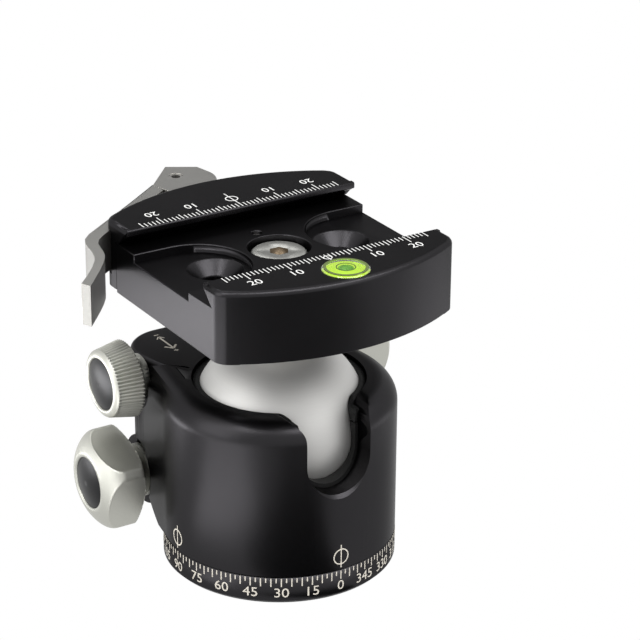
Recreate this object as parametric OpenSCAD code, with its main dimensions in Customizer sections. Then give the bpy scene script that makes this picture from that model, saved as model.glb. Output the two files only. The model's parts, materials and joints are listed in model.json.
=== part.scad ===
// Tripod ball head with a lever-release dovetail clamp.
// Origin: centre of the tripod socket on the underside of the base. +Z is up, the drop notch faces -Y.

/* [Base] */
// Outer radius of the base plate and of the round front of the housing
base_r = 26.5; // [25.5:0.5:28]
// Height of the base plate's rim
base_h = 6.4; // [5.6:0.2:7.2]
// Chamfer round the underside of the base plate
base_chamfer = 0.8; // [0.4:0.2:1.2]
// Radius of the drum on which the housing turns
drum_r = 16; // [15:0.5:17]
// Radius of the bored wall of the 3/8-16 tripod socket
socket_r = 3.97; // [3.9:0.01:4.2]
// Outer radius of the steel socket insert
insert_r = 7.5; // [6.5:0.5:8.5]
// Length of the socket insert
insert_h = 9; // [8:0.5:9]
// Height of the open seam between base and housing
seam_h = 0.4; // [0.3:0.1:0.6]

/* [Ball] */
// Radius of the ball
ball_r = 20; // [19.6:0.1:20.2]
// Height of the ball's centre
ball_z = 33.2; // [33:0.1:34]
// Radius of the stem
stem_r = 6.6; // [6:0.1:6.8]
// Radius of the platform that carries the clamp
platform_r = 12; // [11:0.5:12.5]
// Thickness of the platform
platform_h = 2.2; // [1.8:0.1:2.3]
// Running gap between the ball and the liner or race
ball_gap = 0.15; // [0.12:0.01:0.2]

/* [Housing] */
// Height of the flat top of the housing
house_top = 43.4; // [43.2:0.1:43.8]
// Radius of the rounded shoulder
shoulder_r = 5.5; // [5:0.1:5.6]
// Radius of the two rear corners
corner_r = 11; // [10.6:0.1:11.4]
// Distance of each rear corner's centre to the side of the middle plane
corner_x = 11.3; // [11:0.1:11.6]
// Distance of the rear corners' centres behind the ball
corner_y = 24.5; // [24.3:0.1:25]
// Radius of the cavity that takes liner and race
cavity_r = 21.8; // [21.7:0.1:22]
// Radius of the mouth over the race
mouth_r = 19.6; // [19.6:0.1:20]
// Radius of the drop notch
notch_r = 8.1; // [7.8:0.1:8.4]
// Rounding at the top corners of the drop notch
notch_lead = 4; // [3:0.5:4.5]
// Chamfer at the foot of the drop notch's outer edge
notch_chamfer_w = 0.8; // [0.5:0.1:1.2]
// Radius at which the rear taper starts, at the seam
taper_r = 27.6; // [27.4:0.1:28]
// Height at which the rear taper ends
taper_top = 24; // [22:0.5:26]

/* [Liner and race] */
// Thickness of the liner's wall at the ball's equator
liner_wall = 1.45; // [1.3:0.05:1.5]
// Radius of the slot in liner and race
slot_r = 7.2; // [7:0.1:7.6]
// Height of the liner's top edge
liner_top = 38; // [37.9:0.1:38.1]
// Height of the race's top edge
race_top = 42.6; // [42.3:0.1:42.8]

/* [Controls] */
// Distance of the three control axes behind the ball
axis_y = 25; // [24.8:0.1:25.4]
// Height of the main lock's axis
main_z = 35; // [34.6:0.1:35.2]
// Height of the drag control's axis
drag_z = 38.9; // [38.7:0.1:39.1]
// Height of the pan lock's axis
pan_z = 15; // [14.6:0.1:15.2]
// Depth of the flat spot faces inside the housing's widest radius
face_in = 4.8; // [4.5:0.1:5]
// Radius of the main lock pin
main_pin_r = 3.5; // [3.3:0.1:3.6]
// Radius of the drag pin and the pan pin
small_pin_r = 3; // [2.9:0.1:3.1]
// Rise of the taper ground on each pin, per millimetre of length
pin_taper = 0.25; // [0.2:0.05:0.3]
// Radius of the control shafts
shaft_r = 2.5; // [2.3:0.1:2.6]
// Radius of the threaded ends of the control shafts
thread_r = 1.8; // [1.6:0.1:1.9]

/* [Knobs] */
// Largest radius of the fluted drag knob
drag_knob_r = 9; // [8:0.2:9.2]
// Length of the drag knob
drag_knob_l = 7.7; // [7:0.1:8.2]
// Number of flutes round the drag knob
flutes = 48; // [36:4:60]
// Depth of one flute
flute_d = 0.45; // [0.3:0.05:0.6]
// Radius of the barrel from which the four-sided pan knob is cut
pan_knob_r = 11.7; // [11:0.1:12]
// Length of the pan knob
pan_knob_l = 11.6; // [10.5:0.1:12.5]
// Radius of the barrel from which the four-sided main knob is cut
main_knob_r = 12.4; // [12:0.1:12.8]
// Length of the main knob
main_knob_l = 17; // [15:0.1:18]
// Half width across the flats of a four-sided knob, as a share of its barrel's radius
flat_share = 0.755; // [0.73:0.005:0.8]
// Distance between a knob's back and its spot face
knob_gap = 2.7; // [2.5:0.1:3.3]
// Radius of the domed caps in the knobs
cap_r = 5.95; // [5:0.05:6.4]

/* [Clamp] */
// Half of the clamp's length along the channel
clamp_x = 29.5; // [28.5:0.5:30.5]
// Height of the clamp's underside
clamp_z = 62.5; // [62.4:0.1:63]
// Height of the clamp from its underside to its top
clamp_h = 16.3; // [16:0.1:16.7]
// Depth of the seat under the camera plate, below the clamp's top
seat_drop = 4.4; // [4.2:0.1:4.6]
// Depth of the two end pockets below the seat
pocket_d = 1.9; // [1.2:0.1:2.2]
// Half width of the end pockets
pocket_r = 12; // [11:0.5:12.5]
// Distance of the pockets' round ends from the middle
pocket_x = 20.6; // [20:0.2:21.5]
// Radius of the bowed outer faces, seen from above
bow_r = 54; // [50:1:58]
// Distance of the fixed jaw's outer face from the stem
near_y = 33.2; // [32.8:0.1:34]
// Distance of the moving jaw's outer face from the stem
far_y = 33.8; // [33.4:0.1:34.4]
// Distance of the fixed jaw's lip from the stem
near_lip = 18.24; // [18:0.02:18.6]
// Distance of the moving jaw's lip from the stem
far_lip = 15.42; // [15.2:0.02:15.8]
// Height of the upright nose of each lip
lip_h = 0.6; // [0.4:0.1:0.8]
// Opening travel of the moving jaw
jaw_travel = 4.5; // [4:0.1:4.8]
// Vertical corner radius of the clamp
clamp_corner = 4; // [3:0.5:5]
// Rounding along the top of the bowed faces
clamp_edge = 1.2; // [0.8:0.1:1.6]
// Distance of the open seam between clamp body and moving jaw from the stem
jaw_seam = 20.3; // [19.8:0.1:21]
// Distance of the through screw holes from the middle
hole_x = 16; // [15.5:0.1:16.5]
// Radius of the through screw holes
hole_r = 3.3; // [3:0.1:3.4]
// Radius of the countersinks at the pocket floor
sink_r = 6.3; // [5.8:0.1:6.5]
// Distance of the bubble level from the stem
vial_y = 27.1; // [26.8:0.1:27.3]
// Radius of the bubble level
vial_r = 5.2; // [5:0.1:5.3]

/* [Lever] */
// Distance of the lever's pivot from the stem
pivot_y = 46.3; // [46:0.1:47]
// Opening angle of the lever
lever_angle = 95; // [90:1:100]
// Depth of the lever's top face below the clamp's top
lever_drop = 2.8; // [2.3:0.1:3.3]
// Thickness of the lever
lever_h = 9.3; // [8.8:0.1:9.5]
// Radius of the spring pin in the pivot
pivot_r = 1.6; // [1.4:0.05:1.8]
// Radius of the draw rod
rod_r = 2.4; // [2.2:0.1:2.5]
// Thickness of the lever's arm
arm_t = 3.4; // [3:0.1:3.8]

/* [Hidden] */
$fn = 96;
fit = 0.1;                              // clearance of a sliding fit
snug = 0.05;                            // clearance of a running fit
tuck = 0.02;                            // a joining flat lies this much inside a round

black = "#1b1b1d";
steel = "#b9b9b6";
titanium = "#97998e";
bare = "#c9c7c0";
polymer = "#2b2b2b";
fluid = "#b4d433";

house_z = base_h + seam_h;              // underside of the housing
block_z = house_z - 2;                  // the block starts lower and is cut off at the seam
shoulder_z = house_top - shoulder_r;    // where the shoulder starts
washer_h = 0.6;
washer_r = 22;
plate_z = base_h + washer_h;            // underside of the bearing plate
plate_h = 2.2;
plate_top = plate_z + plate_h;
plate_r = 25.2;
plate_screw_x = 23.7;
drum_top = plate_top + 0.2;
disc_h = 1.6;
disc_top = drum_top + disc_h;
disc_r = 22;
disc_screw_x = (insert_r + drum_r) / 2;
support_z = disc_top + 1.9;
support_h = 1.4;
liner_z = support_z + support_h;
liner_r = ball_r + ball_gap + liner_wall;
seat_r = ball_r + ball_gap;             // radius of the spherical seats
race_z = liner_top + 0.3;
race_step = 41.3;                       // height of the race's shoulder under the mouth
mouth_step = race_step + 0.2;
race_r = cavity_r - 0.3;
race_neck = mouth_r - 0.3;
race_lead = 2.6;                        // rounding at the top corners of the race's slot
support_hole = 15;

face_x = base_r - face_in;              // distance of the spot faces from the middle plane
knob_back = face_x + knob_gap;
face_step = 1.5;                        // thickness of a bush's flange
flange_r = 6.2;
drag_flange_r = 5;
spot_r = 7.4;                           // radius of the spot faces
boss_r = 8.2;                           // radius of the boss round the pan lock
pin_end = 14.2;                         // outer end of each pin
pin_tip = 0.8;                          // inner end of each pin
grind_from = 10.5;                      // where the taper leaves the pin's surface
thread_from = 8.6;                      // inner end of the thread in each pin
shoe_from = 1.5;
shoe_to = 8.5;
shoe_w = 5;                             // width of a shoe
shoe_gap = 0.05;                        // gap at a shoe's working faces
press_gap = 0.11;                       // gap under the pan shoe, a little over its travel
bore_end = 0.3;
bush_in = face_x - 5.7;                 // inner end of the bushes
bush_r = 4.6;
drag_bush_r = 3.8;                      // stays below the flat top
collar_r = 2.95;                        // collar that holds a shaft behind its bush
main_collar_r = 3.35;
knob_wall = 1;
knob_widest = 0.35;                     // share of a knob's length at which its barrel is widest
main_turn = 10;                         // where the corners of the four-sided knobs stand
pan_turn = -19;
cap_sink = 2;                           // depth of a cap's seat
cap_rise = 0.5;                         // height of the dome over the knob's face
dome_r = 22;

clamp_top = clamp_z + clamp_h;
seat_z = clamp_top - seat_drop;
lever_top = clamp_top - lever_drop;
lever_z = lever_top - lever_h;
rod_z = clamp_z + 7.8;                  // height of the draw rod
rod_from = 7.4;
rod_pin_y = 9.6;
rod_pin_r = 1.2;
eye_h = 5.2;
eye_r = 4.2;
hub_z = clamp_z + 2;                    // underside of the lever's fork
lip_drop = clamp_top - lip_h - seat_z;  // height of the 45 degree undercut
jaw_gap = 0.15;
jaw_foot = 0.1;                         // gap under the moving jaw's foot
jaw_z = clamp_z + 0.7;                  // underside of the moving jaw
head_r = 6.2;                           // radius of the centre screw's head
head_well = head_r + 0.8;
head_top = seat_z - 1;
head_h = 3.4;
screw_r = 3.9;                          // radius of the centre screw's shank
guide_x = 22;
guide_z = clamp_z + 4.9;
guide_r = 2;
guide_from = 6;                         // inner end of the guide pins
guide_to = 25;
spring_x = 11;
spring_r = 2.4;
spring_wall = 0.6;
spring_from = 12;                       // bottom of the spring wells
vial_h = 4;
vial_wall = 0.9;
vial_floor = clamp_top - vial_h;
cam_reach = pivot_y - far_y - jaw_gap;  // cam support when the lever is closed
cam_rate = jaw_travel / (lever_angle * PI / 180);

// ---------- shared shapes ----------

// Cylinder running outward along -X (side = -1) or +X (side = 1), between two distances.
module out(side, y, z, u0, u1, r) {
    translate([side > 0 ? u0 : -u1, y, z]) rotate([0, 90, 0]) cylinder(r = r, h = u1 - u0);
}

// Box between two corners whose X values are mirrored with the side.
module side_box(side, u0, u1, y0, y1, z0, z1) {
    translate([side > 0 ? u0 : -u1, y0, z0]) cube([u1 - u0, y1 - y0, z1 - z0]);
}

// Places children, modelled along +Z from the middle plane, on a control axis.
module on_axis(side, z) {
    translate([0, axis_y, z]) rotate([0, side * 90, 0]) children();
}

module ring(r0, r1, z0, z1) {
    difference() {
        translate([0, 0, z0]) cylinder(r = r1, h = z1 - z0);
        translate([0, 0, z0 - 1]) cylinder(r = r0, h = z1 - z0 + 2);
    }
}

module ball_sphere(r) {
    translate([0, 0, ball_z]) sphere(r = r);
}

// U-shaped way towards -Y: round at the ball's height and open above.
module notch(r, top) {
    translate([0, 0, ball_z]) rotate([90, 0, 0]) cylinder(r = r, h = base_r + 5);
    translate([-r, -base_r - 5, ball_z]) cube([2 * r, base_r + 5, top - ball_z]);
}

// Rounds the two top corners of a U-shaped way: square prisms with a quarter round left standing.
module lead_in(r, top, lead) {
    for (s = [-1, 1]) translate([s * r, 0, top - lead]) rotate([90, 0, 0])
        linear_extrude(base_r + 5) difference() {
            translate([s > 0 ? -1 : -lead, 0]) square([lead + 1, lead + 3]);
            translate([s * lead, 0]) circle(r = lead, $fn = 48);
        }
}

// ---------- base ----------

module base_plate() color(black) difference() {
    union() {
        cylinder(r1 = base_r - base_chamfer, r2 = base_r, h = base_chamfer);
        translate([0, 0, base_chamfer]) cylinder(r = base_r, h = base_h - base_chamfer);
        translate([0, 0, base_h - 1]) cylinder(r = drum_r, h = drum_top - base_h + 1);
    }
    translate([0, 0, -1]) cylinder(r = insert_r, h = drum_top + 2);
    translate([0, 0, -1]) cylinder(r = insert_r + 0.9, h = 1.6);
    for (a = [45:90:359])
        rotate(a) translate([disc_screw_x, 0, drum_top - 4]) cylinder(r = 1, h = 5);
}

module thread_insert() color(steel) difference() {
    union() {
        translate([0, 0, drum_top - insert_h]) cylinder(r = insert_r, h = insert_h);
        cylinder(r = insert_r + 0.9, h = 0.6);
    }
    translate([0, 0, -1]) cylinder(r = socket_r, h = drum_top + 2);
}

module thrust_washer() color(polymer) ring(drum_r + 0.3, washer_r, base_h, plate_z);

module brake_disc() color(steel) difference() {
    ring(insert_r, disc_r, drum_top, disc_top);
    for (a = [45:90:359]) rotate(a) translate([disc_screw_x, 0, 0]) {
        translate([0, 0, drum_top - 1]) cylinder(r = 1.2, h = disc_h + 2);
        translate([0, 0, disc_top - 1]) cylinder(r1 = 1.2, r2 = 2.3, h = 1.1);
    }
}

module disc_screws() color(steel) for (a = [45:90:359]) rotate(a) translate([disc_screw_x, 0, 0]) {
    translate([0, 0, drum_top - 3.8]) cylinder(r = 1, h = 4);
    difference() {
        union() {
            translate([0, 0, drum_top]) cylinder(r = 1, h = disc_h);
            translate([0, 0, disc_top - 1]) cylinder(r1 = 1, r2 = 2, h = 1);
        }
        translate([0, 0, disc_top - 0.6]) cylinder(r = 0.7, h = 1, $fn = 6);
    }
}

// ---------- housing ----------

// Half section of the housing's skin: an upright wall that rounds over into the flat top.
module skin(r) {
    translate([0, block_z]) square([r, shoulder_z - block_z]);
    translate([0, block_z]) square([r - shoulder_r, house_top - block_z]);
    translate([r - shoulder_r, shoulder_z]) circle(r = shoulder_r, $fn = 48);
}

// Straight stretch of the same wall, from a start point along a heading, drawn tuck inside the round ends.
module skin_run(from, heading, length, r) {
    translate(from) rotate(heading) rotate([90, 0, 0]) mirror([0, 0, 1])
        linear_extrude(length) intersection() {
            translate([r - 2 * shoulder_r, 0]) square([2 * shoulder_r - tuck, 100]);
            translate([-tuck, 0]) skin(r);
        }
}

module housing_block() {
    span = sqrt(corner_x * corner_x + corner_y * corner_y);
    lean = atan2(corner_y, corner_x) - acos((base_r - corner_r) / span);
    run = sqrt(span * span - (base_r - corner_r) * (base_r - corner_r));
    inner = corner_r - shoulder_r - 1;
    core = base_r - shoulder_r - 1;
    rotate_extrude() skin(base_r);
    for (s = [-1, 1]) translate([s * corner_x, corner_y, 0]) rotate_extrude() skin(corner_r);
    skin_run([0, 0, 0], lean, run, base_r);
    mirror([1, 0, 0]) skin_run([0, 0, 0], lean, run, base_r);
    skin_run([corner_x, corner_y, 0], 90, 2 * corner_x, corner_r);
    translate([0, 0, block_z]) linear_extrude(house_top - block_z) polygon([
        [core * cos(lean), core * sin(lean)],
        [corner_x + inner * cos(lean), corner_y + inner * sin(lean)],
        [corner_x, corner_y + inner],
        [-corner_x, corner_y + inner],
        [-corner_x - inner * cos(lean), corner_y + inner * sin(lean)],
        [-core * cos(lean), core * sin(lean)]]);
}

// The rear of the housing draws in towards the base below the taper's top.
module taper_envelope() {
    wide = 40;
    rotate_extrude() polygon([
        [0, block_z - 1], [taper_r, block_z - 1], [taper_r, house_z],
        [wide, taper_top + (wide - rear_reach()) * 0.7], [wide, house_top + 1], [0, house_top + 1]]);
}

function rear_reach() = sqrt(corner_x * corner_x + corner_y * corner_y) + corner_r;

module control_bores(side, z, pin_r, bush) {
    out(side, axis_y, z, bore_end, bush_in + 1, pin_r + fit);
    out(side, axis_y, z, bush_in, 40, bush);
    out(side, axis_y, z, face_x, 45, spot_r);
}

module housing() color(black) difference() {
    union() {
        intersection() {
            housing_block();
            taper_envelope();
        }
        out(-1, axis_y, pan_z, 12, face_x, boss_r);
    }
    translate([0, 0, block_z - 2]) cylinder(r = 60, h = house_z - block_z + 2);
    translate([0, 0, house_z - 1]) cylinder(r = plate_r, h = plate_top - house_z + 1);
    translate([0, 0, plate_top - tuck]) cylinder(r = disc_r + 0.3, h = support_z - 1 - plate_top);
    translate([0, 0, support_z - 2]) cylinder(r = cavity_r, h = mouth_step - support_z + 2);
    cylinder(r = mouth_r, h = 100);
    for (a = [30:60:359])
        rotate(a) translate([plate_screw_x, 0, plate_top - 1]) cylinder(r = 0.8, h = 4);
    notch(notch_r, house_top + 2);
    lead_in(notch_r, house_top + snug, notch_lead);
    notch_chamfer();
    control_bores(1, main_z, main_pin_r, bush_r);
    side_box(1, shoe_from - fit, shoe_to + fit, 15, axis_y,
        main_z - shoe_w / 2 - fit, main_z + shoe_w / 2 + fit);
    control_bores(-1, drag_z, small_pin_r, drag_bush_r);
    side_box(-1, shoe_from - fit, shoe_to + fit, 15, axis_y, liner_top - 3.2, drag_z + shoe_w / 2 + fit);
    control_bores(-1, pan_z, small_pin_r, bush_r);
    side_box(-1, shoe_from - fit, shoe_to + fit, 18.4, axis_y + 2.1, disc_top - 0.5, pan_z);
}

// Chamfer round the outer edge of the drop notch, widest at its foot.
module notch_chamfer() {
    deep = base_r - notch_chamfer_w;
    translate([0, -deep, ball_z]) rotate([90, 0, 0])
        cylinder(r1 = notch_r, r2 = notch_r + 3 * notch_chamfer_w, h = 3 * notch_chamfer_w);
}

module bearing_plate() color(steel) difference() {
    ring(drum_r + fit, plate_r, plate_z, plate_top);
    for (a = [30:60:359]) rotate(a) translate([plate_screw_x, 0, 0]) {
        translate([0, 0, plate_z - 1]) cylinder(r = 1, h = plate_h + 2);
        translate([0, 0, plate_z - tuck]) cylinder(r = 1.35, h = 0.9);
    }
}

module plate_screws() color(steel) for (a = [30:60:359]) rotate(a) translate([plate_screw_x, 0, 0]) {
    translate([0, 0, plate_z + 0.1]) cylinder(r = 1.3, h = 0.75);
    translate([0, 0, plate_z + 0.1]) cylinder(r = 0.8, h = plate_h + 2.4);
}

module support_ring() color(steel) ring(support_hole, cavity_r, support_z, support_z + support_h);

module ball_liner() color(polymer) difference() {
    translate([0, 0, liner_z]) cylinder(r = liner_r, h = liner_top - liner_z);
    ball_sphere(seat_r);
    notch(slot_r, 100);
    side_box(1, shoe_from - fit, shoe_to + fit, 10, 30, main_z - shoe_w / 2 - fit, 60);
    side_box(-1, shoe_from - fit, shoe_to + fit, 10, 30, liner_top - 3.2, 60);
}

module race_ring() color(polymer) difference() {
    union() {
        translate([0, 0, race_z]) cylinder(r = race_r, h = race_step - race_z);
        translate([0, 0, race_z]) cylinder(r = race_neck, h = race_top - race_z);
    }
    ball_sphere(seat_r);
    notch(slot_r, 100);
    lead_in(slot_r, race_top + snug, race_lead);
}

module ball_stem() color(bare) {
    neck = 2;
    difference() {
        union() {
            ball_sphere(ball_r);
            translate([0, 0, ball_z]) cylinder(r = stem_r, h = clamp_z - ball_z);
            translate([0, 0, clamp_z - platform_h]) cylinder(r = platform_r, h = platform_h);
            translate([0, 0, clamp_z - platform_h - neck])
                cylinder(r1 = stem_r, r2 = stem_r + neck, h = neck);
        }
        translate([0, 0, clamp_z - 12]) cylinder(r = screw_r + fit, h = 13);
    }
}

// ---------- controls ----------

// Pin with a taper ground along the side that faces its shoe; turn = 0 grinds the side towards -Y.
module wedge_pin(side, z, r, turn) difference() {
    out(side, axis_y, z, pin_tip, pin_end, r);
    out(side, axis_y, z, thread_from, pin_end + 1, thread_r + snug);
    wedge_cut(side, z, r, turn, 0);
}

// Everything on the shoe's side of the ground taper, moved away from the pin by the gap.
module wedge_cut(side, z, r, turn, gap) {
    rise = pin_taper * (grind_from - bore_end);
    translate([0, axis_y, z]) rotate([turn, 0, 0]) mirror([side > 0 ? 0 : 1, 0, 0])
        translate([0, 0, -8]) linear_extrude(16) polygon([
            [bore_end - 0.2, -r - 20], [grind_from, -r - 20], [grind_from, -r - gap],
            [bore_end, rise - r - gap], [bore_end - 0.2, rise - r - gap]]);
}

// Shoe that bears on the ball: a block under the taper with a spherical nose.
module ball_shoe(side, z, r, nose_from, nose_to) intersection() {
    wedge_cut(side, z, r, 0, shoe_gap);
    difference() {
        union() {
            side_box(side, shoe_from, shoe_to, 12, axis_y, nose_from, nose_to);
            difference() {
                side_box(side, shoe_from, shoe_to, 12, axis_y, z - shoe_w / 2, z + shoe_w / 2);
                cylinder(r = cavity_r + 0.1, h = 100);
            }
        }
        ball_sphere(seat_r);
    }
}

module main_pin() color(steel) wedge_pin(1, main_z, main_pin_r, 0);
module drag_pin() color(steel) wedge_pin(-1, drag_z, small_pin_r, 0);
module pan_pin() color(steel) wedge_pin(-1, pan_z, small_pin_r, 90);

module main_shoe() color(bare)
    ball_shoe(1, main_z, main_pin_r, main_z - shoe_w / 2, main_z + shoe_w / 2);

module drag_shoe() color(bare) ball_shoe(-1, drag_z, small_pin_r, liner_top - 3.1, liner_top - 0.2);

// Shoe that bears down on the brake disc, with a tongue under the support ring.
module pan_shoe() color(bare) intersection() {
    wedge_cut(-1, pan_z, small_pin_r, 90, shoe_gap);
    union() {
        side_box(-1, shoe_from, shoe_to, 18.6, axis_y + 2, disc_top + press_gap, support_z - 0.6);
        side_box(-1, shoe_from, shoe_to, cavity_r + 0.3, axis_y + 2, disc_top + press_gap, pan_z);
    }
}

module bush(side, z, barrel, flange) color(steel) difference() {
    union() {
        out(side, axis_y, z, bush_in, face_x + 1, barrel);
        out(side, axis_y, z, face_x, face_x + face_step, flange);
    }
    out(side, axis_y, z, bush_in - 1, 30, shaft_r + snug);
}

module main_bush() bush(1, main_z, bush_r, flange_r);
module drag_bush() bush(-1, drag_z, drag_bush_r, drag_flange_r);
module pan_bush() bush(-1, pan_z, bush_r, flange_r);

// Shaft with a threaded inner end, a collar behind the bush and a plain end in the knob.
module shaft(side, z, knob_l, collar) color(steel) {
    out(side, axis_y, z, thread_from + 0.6, bush_in, thread_r);
    out(side, axis_y, z, bush_in - 1.1, bush_in - 0.1, collar);
    out(side, axis_y, z, bush_in - 0.2, knob_back + knob_l - 3, shaft_r);
}

module main_shaft() shaft(1, main_z, main_knob_l, main_collar_r);
module drag_shaft() shaft(-1, drag_z, drag_knob_l, collar_r);
module pan_shaft() shaft(-1, pan_z, pan_knob_l, collar_r);

// Four-sided knob: an egg-shaped barrel, milled flat on four sides.
module square_knob(side, z, r, l, turn) color(titanium) on_axis(side, z) difference() {
    foot = [[0, 0], [r * 0.62, 0], [r * 0.95, l * 0.09], [r * 0.985, l * 0.17]];
    nose = acos((cap_r + knob_wall) / r);
    reach = l * (1 - knob_widest) / sin(nose);
    intersection() {
        translate([0, 0, knob_back]) rotate_extrude() polygon(concat(
            foot, [for (k = [0:1:8]) [r * cos(nose * k / 8), l * knob_widest + reach * sin(nose * k / 8)]],
            [[0, l]]));
        rotate(turn) translate([-r * flat_share, -r * flat_share, 0])
            cube([2 * r * flat_share, 2 * r * flat_share, 60]);
    }
    knob_bores(l);
}

module knob_bores(l) {
    translate([0, 0, knob_back - 1]) cylinder(r = shaft_r, h = l - cap_sink);
    translate([0, 0, knob_back + l - cap_sink]) cylinder(r = cap_r, h = 5);
}

// Domed cap set into the knob's outer end.
module cap(side, z, l) color(polymer) on_axis(side, z) intersection() {
    translate([0, 0, knob_back + l - cap_sink]) cylinder(r = cap_r, h = cap_sink + cap_rise + 1);
    translate([0, 0, knob_back + l + cap_rise - dome_r]) sphere(r = dome_r);
}

module main_knob() square_knob(1, main_z, main_knob_r, main_knob_l, main_turn);
module main_cap() cap(1, main_z, main_knob_l);
module pan_knob() square_knob(-1, pan_z, pan_knob_r, pan_knob_l, pan_turn);
module pan_cap() cap(-1, pan_z, pan_knob_l);
module drag_cap() cap(-1, drag_z, drag_knob_l);

// Tapered knob with fine flutes that run out at a plain rim round the cap.
module drag_knob() color(titanium) on_axis(-1, drag_z) difference() {
    l = drag_knob_l;
    r = drag_knob_r;
    front_r = cap_r + knob_wall + 0.9;
    lean = atan((r - front_r) / (l - 1.6));
    translate([0, 0, knob_back]) rotate_extrude() polygon([
        [0, 0], [r - 1.6, 0], [r, 0.9], [front_r, l - 0.7], [front_r - 0.35, l - 0.2],
        [cap_r + knob_wall * 0.5, l], [0, l]]);
    knob_bores(l);
    for (a = [0:360 / flutes:359]) rotate(a) translate([r + 0.12, 0, knob_back + 0.9])
        rotate([0, -lean, 0]) translate([0, 0, -3]) cylinder(r = flute_d, h = l + 6, $fn = 4);
}

// ---------- clamp ----------

// Large round that sets a bowed outer face, with its top edge rounded over.
module bowed(y_face, side, z0) {
    translate([0, side * (y_face - bow_r), 0]) rotate_extrude($fn = 200) {
        translate([0, z0]) square([bow_r, clamp_top - clamp_edge - z0]);
        translate([0, z0]) square([bow_r - clamp_edge, clamp_top - z0]);
        translate([bow_r - clamp_edge, clamp_top - clamp_edge]) circle(r = clamp_edge, $fn = 32);
    }
}

module clamp_block(z0) intersection() {
    bowed(near_y, -1, z0);
    bowed(far_y, 1, z0);
    rounded_ends(z0);
}

// Block with rounded upright corners that set the ends of the clamp.
module rounded_ends(z0) {
    h = clamp_top - z0;
    c = clamp_corner;
    inset = sqrt((bow_r - c) * (bow_r - c) - (clamp_x - c) * (clamp_x - c)) - bow_r + 2 * tuck;
    near = near_y + inset;
    far = far_y + inset;
    translate([-clamp_x, -near, z0]) cube([2 * clamp_x, near + far, h]);
    for (s = [-1, 1]) {
        translate([s * (clamp_x - c - tuck), -near, z0]) cylinder(r = c, h = h);
        translate([s * (clamp_x - c - tuck), far, z0]) cylinder(r = c, h = h);
    }
    translate([-clamp_x + c, -40, z0]) cube([2 * (clamp_x - c), 80, h]);
}

// Prism along X from a section in Y and Z.
module along_clamp(points) {
    translate([-40, 0, 0]) rotate([90, 0, 90]) linear_extrude(80) polygon(points);
}

module clamp_body() color(black) difference() {
    clamp_block(clamp_z);
    along_clamp([
        [-near_lip, clamp_top + 5], [-near_lip, clamp_top - lip_h], [-near_lip - lip_drop, seat_z],
        [jaw_seam, seat_z], [jaw_seam, clamp_z - 5], [60, clamp_z - 5], [60, clamp_top + 5]]);
    for (s = [-1, 1]) {
        translate([s * pocket_x, 0, seat_z - pocket_d]) cylinder(r = pocket_r, h = 20);
        side_box(s, pocket_x, 40, -pocket_r, pocket_r, seat_z - pocket_d, seat_z + 20);
        translate([s * hole_x, 0, clamp_z - 1]) cylinder(r = hole_r, h = 20);
        translate([s * hole_x, 0, seat_z - pocket_d - (sink_r - hole_r)])
            cylinder(r1 = hole_r, r2 = sink_r, h = sink_r - hole_r);
        translate([s * hole_x, 0, seat_z - pocket_d - tuck]) cylinder(r = sink_r, h = 10);
        translate([s * guide_x, 0, guide_z]) rotate([-90, 0, 0]) cylinder(r = guide_r + fit, h = 40);
        translate([s * spring_x, spring_from, guide_z]) rotate([-90, 0, 0])
            cylinder(r = spring_r + 0.3, h = 40);
    }
    translate([0, 0, clamp_z - 1]) cylinder(r = screw_r, h = 20);
    translate([0, 0, head_top - head_h]) cylinder(r = head_well, h = 20);
    translate([0, rod_from, rod_z]) rotate([-90, 0, 0]) cylinder(r = rod_r, h = 40);
    translate([0, rod_pin_y, rod_z - 3.6]) cylinder(r = rod_pin_r, h = 20);
    translate([0, -vial_y, vial_floor]) cylinder(r = vial_r, h = 20);
}

module centre_screw() color(steel) difference() {
    union() {
        translate([0, 0, head_top - head_h]) cylinder(r = head_r, h = head_h - 0.5);
        translate([0, 0, head_top - 0.5]) cylinder(r1 = head_r, r2 = head_r - 0.5, h = 0.5);
        translate([0, 0, clamp_z - 11]) cylinder(r = screw_r, h = head_top - head_h - clamp_z + 11 + 1);
    }
    translate([0, 0, head_top - 2.4]) cylinder(r = 2.31, h = 5, $fn = 6);
}

module rod_pin() color(steel) translate([0, rod_pin_y, rod_z - 3.5]) cylinder(r = rod_pin_r, h = 6.9);

module guide_pins() color(steel) for (s = [-1, 1])
    translate([s * guide_x, guide_from, guide_z]) rotate([-90, 0, 0])
        cylinder(r = guide_r, h = guide_to - guide_from);

module jaw_springs() color(steel) for (s = [-1, 1]) translate([s * spring_x, spring_from, guide_z])
    rotate([-90, 0, 0]) difference() {
        cylinder(r = spring_r, h = jaw_seam + jaw_gap - spring_from);
        translate([0, 0, -1]) cylinder(r = spring_r - spring_wall, h = 30);
    }

module moving_jaw() color(black) difference() {
    clamp_block(jaw_z);
    along_clamp([
        [-60, clamp_top + 5], [far_lip, clamp_top + 5], [far_lip, clamp_top - lip_h],
        [far_lip + lip_drop - jaw_foot, seat_z + jaw_foot], [jaw_seam + jaw_gap, seat_z + jaw_foot],
        [jaw_seam + jaw_gap, jaw_z - 5], [-60, jaw_z - 5]]);
    for (s = [-1, 1]) translate([s * guide_x, 10, guide_z]) rotate([-90, 0, 0])
        cylinder(r = guide_r, h = guide_to - 10 + fit);
    translate([0, 10, rod_z]) rotate([-90, 0, 0]) cylinder(r = rod_r + 0.3, h = 40);
    lever_relief();
}

// ---------- lever ----------

// The arm's straight back follows the jaw; the tab beyond the corner sweeps outward.
arm_lean = 36;
arm_to = [-34, 24.3];
tab_neck = [-39, 12];
tab_end = [-48.2, 0.3];
tab_t = 2.5;

module lever_relief() {
    gap = arm_t + 0.6;
    translate([arm_to[0], arm_to[1], lever_z - 0.5]) rotate(arm_lean) translate([-12, -gap, 0])
        cube([42, 20, lever_h + 1]);
}

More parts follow.
